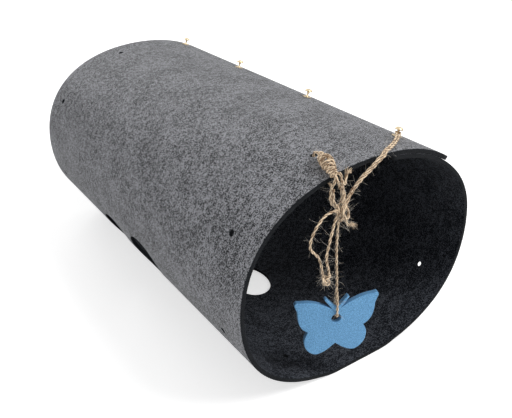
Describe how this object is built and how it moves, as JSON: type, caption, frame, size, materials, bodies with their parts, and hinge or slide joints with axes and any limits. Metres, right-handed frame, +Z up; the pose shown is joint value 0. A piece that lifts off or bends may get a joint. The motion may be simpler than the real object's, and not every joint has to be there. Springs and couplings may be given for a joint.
{
  "type": "pet tunnel",
  "caption": "Stiff felt sheet rolled into an open tunnel, closed with brass studs, with windows low in its wall and a felt butterfly toy hanging on jute twine in its mouth.",
  "frame": {"origin": "on the rest plane, under the middle of the tube and halfway along it", "axes": "+Y along the tube towards its far end, -Y out of the mouth with the toy, +Z up, +X towards the side with the overlap and its studs"},
  "size_m": [0.295, 0.5224, 0.2498],
  "materials": {
    "grey_felt": "needled felt, mottled grey",
    "blue_felt": "needled felt, mid blue",
    "brass": "polished, pale",
    "jute_twine": "hairy twisted twine"
  },
  "bodies": {
    "tunnel": {"felt_sheet": "grey_felt", "stud_1": "brass", "stud_2": "brass", "stud_3": "brass", "stud_4": "brass", "stud_screw_1": "brass", "stud_screw_2": "brass", "stud_screw_3": "brass", "stud_screw_4": "brass", "tie_loop": "jute_twine", "tie_wrap": "jute_twine", "tie_tail": "jute_twine", "stud_sling": "jute_twine"},
    "bridle": {"bridle_strand_left": "jute_twine", "bridle_strand_right": "jute_twine", "sling_strand_upper": "jute_twine", "sling_strand_lower": "jute_twine", "main_knot": "jute_twine", "loop_down": "jute_twine", "loop_knot": "jute_twine", "loop_up": "jute_twine", "knot_tail": "jute_twine"},
    "string": {"toy_string": "jute_twine"},
    "eye": {"toy_eye": "jute_twine"},
    "toy": {"butterfly": "blue_felt"}
  },
  "joints": [
    {"name": "bridle_swing", "type": "hinge", "parent": "tunnel", "child": "bridle", "pos_m": [-0.0235, -0.2535, 0.2272], "axis": [0.9982, 0, 0.0606], "range_deg": [-60, 60]},
    {"name": "string_swing", "type": "hinge", "parent": "bridle", "child": "string", "pos_m": [-0.04, -0.254, 0.1887], "axis": [0, 1, 0], "range_deg": [-45, 25]},
    {"name": "toy_twist", "type": "hinge", "parent": "string", "child": "eye", "pos_m": [-0.04, -0.254, 0.112], "axis": [0, 0, 1], "range_deg": [-180, 180]},
    {"name": "toy_rock", "type": "hinge", "parent": "eye", "child": "toy", "pos_m": [-0.04, -0.254, 0.0836], "axis": [0.3778, 0.9259, 0], "range_deg": [-15, 15]}
  ]
}
